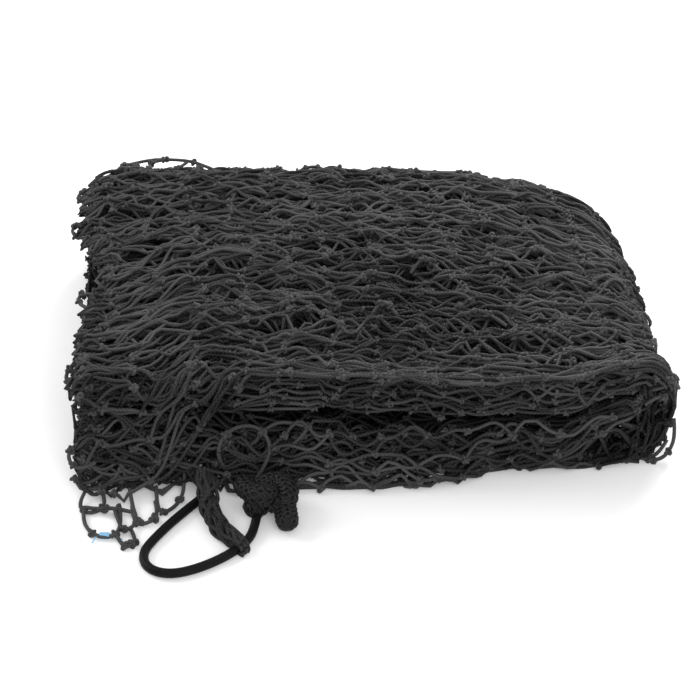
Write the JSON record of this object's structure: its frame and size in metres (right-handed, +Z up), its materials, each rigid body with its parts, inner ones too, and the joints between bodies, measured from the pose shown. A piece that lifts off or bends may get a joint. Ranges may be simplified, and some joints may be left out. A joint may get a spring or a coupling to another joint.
{
  "type": "tennis net",
  "caption": "Black knotted tennis netting folded into a flat bundle with a rounded fold, an overhanging upper half, a looped tie cord and a stopper knot.",
  "frame": {"origin": "on the floor, below the middle of the folded net without its tie cord, knot and knot tail", "axes": "+Z up; +X along the strands of the bundle, from its looped left end to its rounded fold; -Y is the front, where the tie cord lies"},
  "size_m": [0.4801, 0.4499, 0.08],
  "materials": {
    "netting": "matte",
    "cord": "matte",
    "rope": "matte",
    "marker": "matte"
  },
  "bodies": {
    "root": {"net_leaf_upper_01": "netting", "net_leaf_upper_02": "netting", "net_leaf_upper_03": "netting", "net_leaf_upper_04": "netting", "net_leaf_upper_05": "netting", "net_leaf_upper_06": "netting", "net_leaf_upper_07": "netting", "net_leaf_upper_08": "netting", "net_leaf_upper_09": "netting", "net_leaf_upper_10": "netting", "net_leaf_upper_11": "netting", "net_leaf_upper_12": "netting", "net_leaf_upper_13": "netting", "net_leaf_lower_01": "netting", "net_leaf_lower_02": "netting", "net_leaf_lower_03": "netting", "net_leaf_lower_04": "netting", "net_leaf_lower_05": "netting", "net_leaf_lower_06": "netting", "net_leaf_lower_07": "netting", "net_leaf_lower_08": "netting", "net_leaf_lower_09": "netting", "net_leaf_lower_10": "netting", "net_leaf_lower_11": "netting", "net_leaf_lower_12": "netting", "net_leaf_lower_13": "netting", "corner_mesh_1": "netting", "corner_mesh_2": "netting", "gathered_corner": "netting", "marker_thread": "marker", "tie_cord": "cord", "stopper_knot": "rope", "knot_tail": "rope"}
  },
  "joints": []
}
